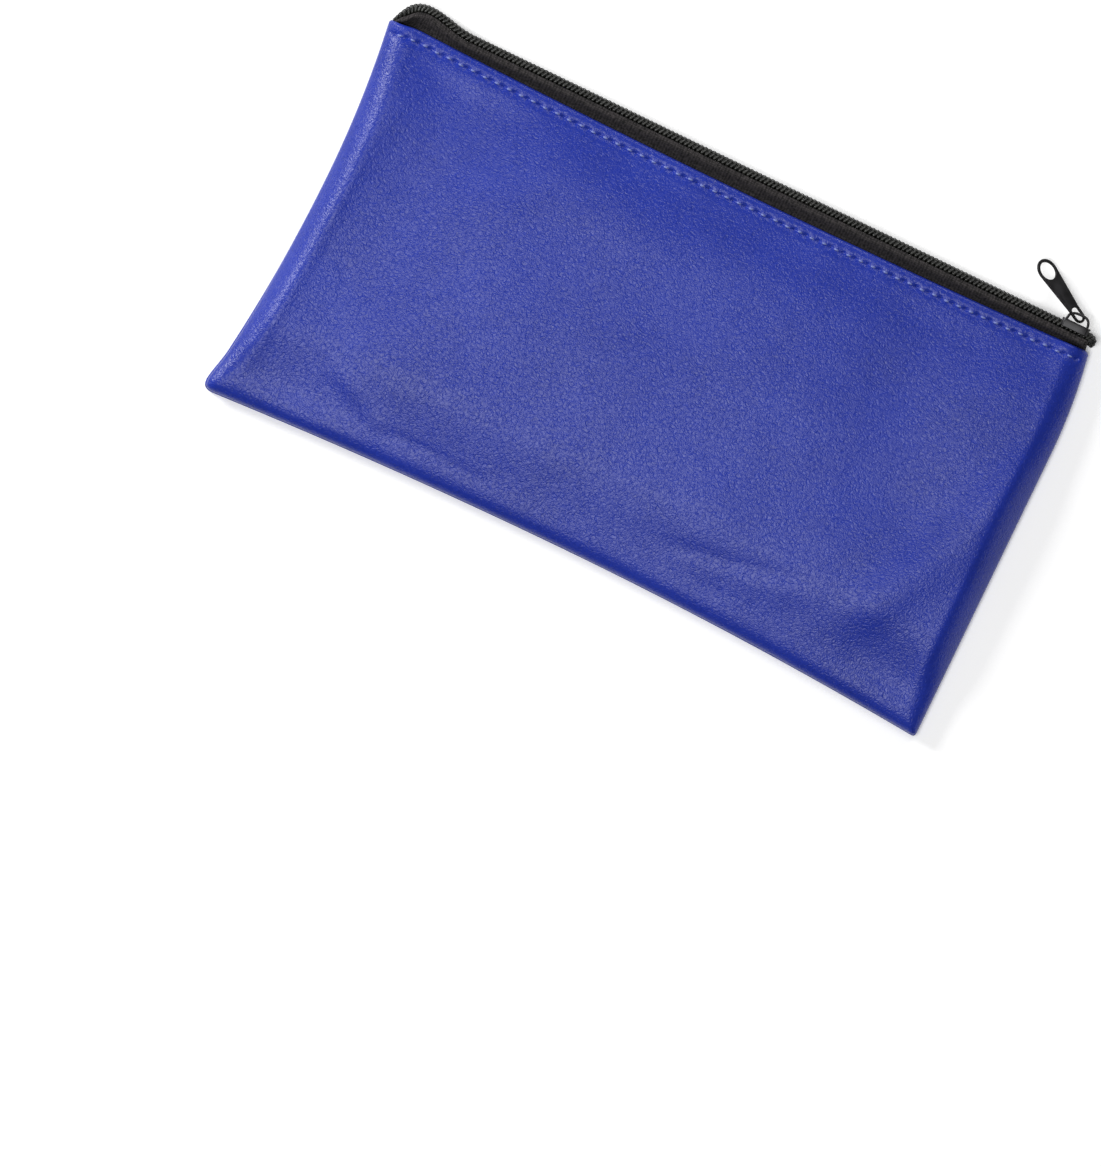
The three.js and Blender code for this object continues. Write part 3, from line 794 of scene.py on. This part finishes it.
def tapeSection(s, side):
    def above(a, b):        # a point beside the chain, kept clear above the hem's edge
        point = besideChain(s, a, b, side)
        corner = tapeShape["corner"]
        point.y = max(point.y, hemEdge(clamp(point.x, -corner, corner)) + tapeShape["clear"])
        return point

    under, edge = -tapeShape["under"], tapeShape["edge"]
    spot = chainAt(s)[0]
    ends = smooth((abs(spot.x) - 124) / 10)
    near = [above(a, under) for a in (0.62, 1.6, 2.6, 3.2)]
    turn = above(edge - 0.08, under - 0.12)
    down = above(edge, under)
    x = clamp(spot.x, -lerp(tapeShape["reach"], 133.2, ends), lerp(tapeShape["reach"], 134.4, ends))
    hemY = hemEdge(x)
    fall = max(0.3, down.y - hemY)
    low = [down + Vector((0, -min(0.7, fall * 0.3), 0)),
           down + Vector((0, -min(1.7, fall * 0.6), side * -0.05))]
    inside = []
    for depth in (-0.3, 2.5, 6, tapeShape["hidden"]):
        depth *= lerp(1, 0.12, ends)
        y = hemY - depth
        if side > 0:
            z = frontHeight(x, min(y, hemY)) - 2 * hem["roll"] - bag["ply"] - tapeShape["gap"]
            z -= 0.3 * bell(depth - hem["stitch"], 2.2)
        else:
            z = 2 * hem["roll"] + bag["ply"] + tapeShape["gap"] + 0.3 * bell(depth - hem["stitch"], 2.2)
        z = lerp(z, 2.45 + side * 0.35, ends)
        inside.append(Vector((x, y, z)))
    return smoothLine(near + [turn] + low + inside)


def makeTape(name, side):
    count = int(chainLength / tapeShape["step"])
    sections = [tapeSection(lerp(0.5, chainLength - 0.5, i / count), side) for i in range(count + 1)]
    wide = len(sections[0])
    points = [point for section in sections for point in section]
    faces = []
    for i in range(count):
        for k in range(wide - 1):
            a, b = i * wide + k, (i + 1) * wide + k
            quad = [a, b, b + 1, a + 1]
            faces.append(quad if side > 0 else quad[::-1])
    piece = meshPiece(name, points, faces)
    weave = piece.data.uv_layers.new(name="weave")
    reach = [0]
    middle = sections[count // 2]
    for before, after in zip(middle, middle[1:]):
        reach.append(reach[-1] + (after - before).length)
    for loop in piece.data.loops:
        i, k = divmod(loop.vertex_index, wide)
        weave.data[loop.index].uv = (i * tapeShape["step"], reach[k])
    applyModifier(piece, "SOLIDIFY", thickness=tapeShape["thickness"] * mm, offset=0,
                  use_quality_normals=True)
    softShade(piece)
    return piece


frontCoil = makeCoil("front_nylon_coil", 1)
finishPiece(frontCoil, "bag", "nylon_coil", monofilament, "front_coil")
backCoil = makeCoil("back_nylon_coil", -1)
finishPiece(backCoil, "bag", "nylon_coil", monofilament, "back_coil")
for name, side in (("front", 1), ("back", -1)):
    finishPiece(makeFiller(name + "_filler_cord", side), "bag", "zipper_thread", zipperThread,
                name + "_coil_cord")
    finishPiece(makeCoilSewing(name + "_coil_stitching", side), "bag", "zipper_thread", zipperThread,
                name + "_coil_sewing")
frontTape = makeTape("front_woven_tape", 1)
finishPiece(frontTape, "bag", "zipper_tape", wovenTape, "front_zipper_tape")
backTape = makeTape("back_woven_tape", -1)
finishPiece(backTape, "bag", "zipper_tape", wovenTape, "back_zipper_tape")
print("zipper made")


# hem threads: each stitch rises from one hole, lies in its pucker and dives into the next
stitch = {
    "thread": 0.36, "hole": 1.5, "crown": 0.16, "dive": 0.9, "steps": 8, "seat": 0.36, "backSeat": 0.52,
    "backShare": 0.8, "bobbin": 0.22, "bobbinHole": 0.4,
}


def makeStitchRow(name, surface, outward, thickness, hole=stitch["hole"]):
    points, faces = [], []
    count = int(hem["reach"] // hem["pitch"])
    for k in range(-count, count):
        path, wides = [], []
        for i in range(stitch["steps"] + 1):
            t = i / stitch["steps"]
            x = (k + t) * hem["pitch"] + lerp(hole, -hole, t)
            y = hemEdge(x) - hem["stitch"] + 0.12 * math.sin(9.1 * k)
            rise = math.sin(math.pi * t) ** 0.6
            z = surface(x, y) + outward * lerp(-stitch["dive"], stitch["crown"], rise)
            path.append(Vector((x, y, z)))
            wides.append(Vector((0, 1, 0)))
        addTube(points, faces, path, wides, thickness, thickness * 0.85, 6)
    piece = meshPiece(name, points, faces)
    outwards(piece)
    softShade(piece)
    return piece


def innerTapeFace(side):
    def height(x, y):
        depth = 2 * hem["roll"] + bag["ply"] + tapeShape["gap"] + tapeShape["thickness"] / 2 + 0.3
        return frontHeight(x, y) - depth if side > 0 else depth
    return height


finishPiece(makeStitchRow("front_hem_stitches", lambda x, y: frontHeight(x, y) - stitch["seat"], 1,
                          stitch["thread"]), "bag", "hem_thread", hemThread, "front_hem_needle_thread")
finishPiece(makeStitchRow("back_hem_stitches", lambda x, y: stitch["backSeat"], -1,
                          stitch["thread"] * stitch["backShare"]),
            "bag", "hem_thread", hemThread, "back_hem_needle_thread")
for name, side in (("front", 1), ("back", -1)):
    finishPiece(makeStitchRow(name + "_hem_bobbin_stitches", innerTapeFace(side), -side,
                              stitch["bobbin"], stitch["bobbinHole"]),
                "bag", "hem_thread", hemThread, name + "_hem_bobbin_thread")


# closing seam: a lockstitch through the two tucked allowances, just inside the turned edge
closing = {
    "inset": 2.2, "top": 66, "foot": -71, "reach": 4, "pitch": 3.0, "swing": 0.45, "thread": 0.2,
    "sideSteps": 48, "footSteps": 96,
}


def makeClosingSeam():
    middle = 2 * bag["roll"] + bag["ply"] + (bag["seamTop"] - 4 * bag["roll"] - 2 * bag["ply"]) / 2
    spots = []
    for k in range(closing["sideSteps"]):
        y = lerp(closing["top"], closing["foot"], k / closing["sideSteps"])
        spots.append((leftEdge(y) + closing["inset"], y))
    reach = bag["rightX"] - closing["reach"]
    for k in range(closing["footSteps"] + 1):
        x = lerp(-reach, reach, k / closing["footSteps"])
        spots.append((x, bottomEdge(x) + closing["inset"]))
    for k in range(1, closing["sideSteps"] + 1):
        y = lerp(closing["foot"], closing["top"], k / closing["sideSteps"])
        spots.append((rightEdge(y) - closing["inset"], y))
    path, length = [], 0
    for i, (x, y) in enumerate(spots):
        if i:
            gap = math.hypot(x - spots[i - 1][0], y - spots[i - 1][1])
            parts = max(1, round(gap / (closing["pitch"] / 4)))
            for k in range(1, parts + 1):
                t = k / parts
                at = length + gap * t
                z = middle + closing["swing"] * math.sin(2 * math.pi * at / closing["pitch"])
                path.append(Vector((lerp(spots[i - 1][0], x, t), lerp(spots[i - 1][1], y, t), z)))
            length += gap
    wides = [Vector((0, 0, 1))] * len(path)
    points, faces = [], []
    addTube(points, faces, path, wides, closing["thread"], closing["thread"], 6)
    piece = meshPiece("closing_seam_lockstitch", points, faces)
    outwards(piece)
    softShade(piece)
    return piece


finishPiece(makeClosingSeam(), "bag", "hem_thread", hemThread, "closing_seam_thread")
print("threads made")


# slider: one zinc casting, two plates joined by a post, flanges down the sides and a bail on top
slider = {
    "x": (sliderLow.x + sliderHigh.x) / 2, "z": (sliderLow.z + sliderHigh.z) / 2, "length": 10.8,
    "plate": 0.7, "gap": 0.15, "rear": 3.9, "front": 4.3, "innerHalf": 3.2, "flangeDrop": 2.25,
    "channel": 4.0, "bottomHalf": 2.9, "postHalf": 0.16, "edge": 0.16,
    "bailHalf": 3.98, "bailRise": 3.15, "bailBar": 0.47,
}


def inEditMode(piece):
    pick(piece)
    bpy.ops.object.mode_set(mode="EDIT")
    bpy.ops.mesh.select_mode(type="VERT")


def grab(piece, test):
    body = bmesh.from_edit_mesh(piece.data)
    for vert in body.verts:
        vert.select_set(False)
    body.select_flush(False)
    for vert in body.verts:
        if test(vert.co / mm):
            vert.select_set(True)
    body.select_flush(True)
    bmesh.update_edit_mesh(piece.data)


def grabFaces(piece, test):
    body = bmesh.from_edit_mesh(piece.data)
    bpy.ops.mesh.select_mode(type="FACE")
    for face in body.faces:
        face.select_set(test(face.calc_center_median() / mm, face.normal))
    bmesh.update_edit_mesh(piece.data)


def cutAt(place, normal):
    bpy.ops.mesh.select_all(action="SELECT")
    bpy.ops.mesh.bisect(plane_co=Vector(place) * mm, plane_no=normal)


def addBlock(name, low, high):
    low, high = Vector(low), Vector(high)
    bpy.ops.object.select_all(action="DESELECT")
    bpy.ops.mesh.primitive_cube_add(size=1, location=(low + high) / 2 * mm)
    piece = bpy.context.active_object
    piece.name = name
    piece.scale = (high - low) * mm
    bpy.ops.object.transform_apply(location=True, rotation=True, scale=True)
    return piece


def narrow(piece, x, factor):
    grab(piece, lambda p: abs(p.x - x) < 0.05)
    bpy.ops.transform.resize(value=(1, 1, factor), center_override=Vector((x, 0, slider["z"])) * mm)


# A slider plate, narrower at its rear than at its mouth, with its corners taken off.
def addPlate(name, top, thickness, rear, front):
    x, z, half = slider["x"], slider["z"], slider["length"] / 2
    plate = addBlock(name, (x - half, top - thickness, z - front), (x + half, top, z + front))
    inEditMode(plate)
    for cut in (-half + 1, -1.5, 0.5, half - 1.2):
        cutAt((x + cut, top, z), (1, 0, 0))
    narrow(plate, x - half, (rear - 0.8) / front)
    narrow(plate, x - half + 1, rear / front)
    narrow(plate, x - 1.5, (rear + 0.1) / front)
    narrow(plate, x + half, (front - 1.4) / front)
    return plate


def makeSlider():
    x, z, half = slider["x"], slider["z"], slider["length"] / 2
    innerTop = chain["lineY"] + slider["gap"]
    top = innerTop + slider["plate"]
    upper = addPlate("slider_casting", top, slider["plate"], slider["rear"], slider["front"])
    for side in (-1, 1):
        cutAt((x, top, z + side * slider["innerHalf"]), (0, 0, 1))
    grabFaces(upper, lambda p, n: n.y < -0.9 and abs(p.z - z) > slider["innerHalf"] - 0.02)
    bpy.ops.mesh.extrude_region_move(TRANSFORM_OT_translate={"value": (0, -slider["flangeDrop"] * mm, 0)})
    bpy.ops.object.mode_set(mode="OBJECT")
    lower = addPlate("lower_plate", innerTop - slider["channel"], slider["plate"],
                     slider["bottomHalf"], slider["bottomHalf"] + 0.1)
    bpy.ops.object.mode_set(mode="OBJECT")
    post = addBlock("post", (x + half - 3.8, innerTop - slider["channel"] - 0.3, z - slider["postHalf"]),
                    (x + half - 0.5, innerTop + 0.3, z + slider["postHalf"]))
    for part in (upper, lower, post):
        outwards(part)
        width = slider["edge"] if part is not post else 0.05
        applyModifier(part, "BEVEL", width=width * mm, segments=3, limit_method="ANGLE",
                      angle_limit=math.radians(35))
    bpy.ops.object.select_all(action="DESELECT")
    bpy.ops.curve.primitive_bezier_curve_add()
    bail = bpy.context.active_object
    bail.name = "bail"
    spline = bail.data.splines[0]
    reach, rise = slider["bailHalf"], slider["bailRise"]
    stops = [(-reach, -0.35), (-reach + 0.2, rise - 1.7), (-reach + 2.2, rise - 0.15), (reach - 2.4, rise),
             (reach - 0.3, rise - 1.6), (reach, -0.35)]
    leads = [(0, 0.6), (0.15, 0.7), (0.9, 0.2), (0.9, -0.05), (0.35, -0.9), (0, -0.5)]
    spline.bezier_points.add(len(stops) - 2)
    for point, (dx, dy), (ax, ay) in zip(spline.bezier_points, stops, leads):
        point.handle_left_type = point.handle_right_type = "FREE"
        point.co = Vector((x + dx, top + dy, z)) * mm
        point.handle_left = Vector((x + dx - ax, top + dy - ay, z)) * mm
        point.handle_right = Vector((x + dx + ax, top + dy + ay, z)) * mm
    bail.location = (0, 0, 0)
    bail.data.bevel_depth = slider["bailBar"] * mm
    bail.data.bevel_resolution = 4
    bail.data.use_fill_caps = True
    bail.data.resolution_u = 8
    pick(bail)
    bpy.ops.object.convert(target="MESH")
    outwards(bail)
    for part in (lower, post, bail):
        applyModifier(upper, "BOOLEAN", operation="UNION", solver="EXACT", object=part)
        bpy.data.objects.remove(part)
    softShade(upper, 40)
    return upper


# pull: a stamped blade, ring end under the bail, rounded all round, with a slot and a round-ended hole
pull = {
    "reach": 26.0, "thickness": 0.9, "edge": 0.22, "ringRadius": 1.95, "rail": 0.9, "slotEnd": 5.6,
    "tipHalf": 4.1, "holeAt": 21.4, "holeLong": 3.4, "holeWide": 3.15,
    "pivotX": 1.3, "pivotRise": 1.42, "lift": 30, "tilt": 40,
}


def ellipse(cx, cy, rx, ry, start, end, steps):
    return [(cx + rx * math.cos(math.radians(lerp(start, end, k / steps))),
             cy + ry * math.sin(math.radians(lerp(start, end, k / steps)))) for k in range(steps + 1)]


def makePull():
    outer = pull["ringRadius"] + pull["rail"] / 2
    inner = pull["ringRadius"] - pull["rail"] / 2
    ring = pull["ringRadius"]
    slotEnd, holeAt, tip = pull["slotEnd"], pull["holeAt"], pull["tipHalf"]
    outline = ellipse(ring, 0, outer, outer, 90, 270, 24) + [(slotEnd, -outer)]
    outline += ellipse(holeAt, 0, pull["reach"] - holeAt, tip, -90, 90, 32) + [(slotEnd, outer)]
    slot = ellipse(ring, 0, inner, inner, 90, 270, 18) + ellipse(slotEnd - 0.9, 0, 0.9, inner, -90, 90, 12)
    hole = ellipse(holeAt, 0, pull["holeLong"], pull["holeWide"], 0, 360, 40)[:-1]
    shape = bpy.data.curves.new("pull_blade", "CURVE")
    shape.dimensions = "2D"
    shape.fill_mode = "BOTH"
    edge = pull["edge"]
    shape.extrude = (pull["thickness"] / 2 - edge) * mm
    shape.bevel_depth = edge * mm
    shape.bevel_resolution = 3
    shape.offset = -edge * mm
    for line in (outline, slot, hole):
        spline = shape.splines.new("POLY")
        spline.points.add(len(line) - 1)
        for point, (px, py) in zip(spline.points, line):
            point.co = (px * mm, py * mm, 0, 1)
        spline.use_cyclic_u = True
    blade = bpy.data.objects.new("pull_blade", shape)
    bpy.context.collection.objects.link(blade)
    pick(blade)
    bpy.ops.object.convert(target="MESH")
    blade = bpy.context.active_object
    merged = bmesh.new()
    merged.from_mesh(blade.data)
    bmesh.ops.remove_doubles(merged, verts=merged.verts, dist=0.002 * mm)
    merged.to_mesh(blade.data)
    merged.free()
    outwards(blade)
    top = chain["lineY"] + slider["gap"] + slider["plate"]
    pivot = Vector((slider["x"] + pull["pivotX"], top + pull["pivotRise"], slider["z"])) * mm
    swing = Matrix.Rotation(math.radians(180 - pull["lift"]), 4, "Z")
    tilt = Matrix.Rotation(math.radians(pull["tilt"]), 4, "X")
    blade.data.transform(Matrix.Translation(pivot) @ (swing @ tilt))
    softShade(blade, 40)
    return blade


finishPiece(makeSlider(), "slider", "slider_metal", blackZinc, "slider_body")
finishPiece(makePull(), "pull", "slider_metal", blackZinc, "pull_tab")
print("slider and pull made")


# counter and light
bpy.ops.object.select_all(action="DESELECT")
bpy.ops.mesh.primitive_plane_add(size=room["counterSize"], location=(0, 0, -room["counterDrop"]))
counter = bpy.context.active_object
counter.name = "counter"
counter.data.materials.append(counterMaterial())

lights = [
    # name, place, aim, size, power
    ("side softbox", (-1.35, 0.3, 0.74), (0, 0, 0), 0.45, 18),
    ("ceiling softbox", (-0.25, -0.4, 2.4), (0, 0, 0), 0.9, 28),
    ("back rim softbox", (0.2, 1.5, 0.9), (0, 0, 0), 0.6, 8),
]
for name, place, aim, size, power in lights:
    lamp = bpy.data.lights.new(name, "AREA")
    lamp.energy = power
    lamp.size = size
    holder = bpy.data.objects.new(name, lamp)
    holder.location = place
    holder.rotation_euler = (Vector(aim) - Vector(place)).to_track_quat("-Z", "Y").to_euler()
    bpy.context.collection.objects.link(holder)

world = bpy.data.worlds.new("studio")
world.use_nodes = True
world.node_tree.nodes["Background"].inputs["Color"].default_value = (1, 1, 1, 1)
world.node_tree.nodes["Background"].inputs["Strength"].default_value = room["ambient"]
bpy.context.scene.world = world
bpy.context.scene.view_settings.view_transform = "Standard"
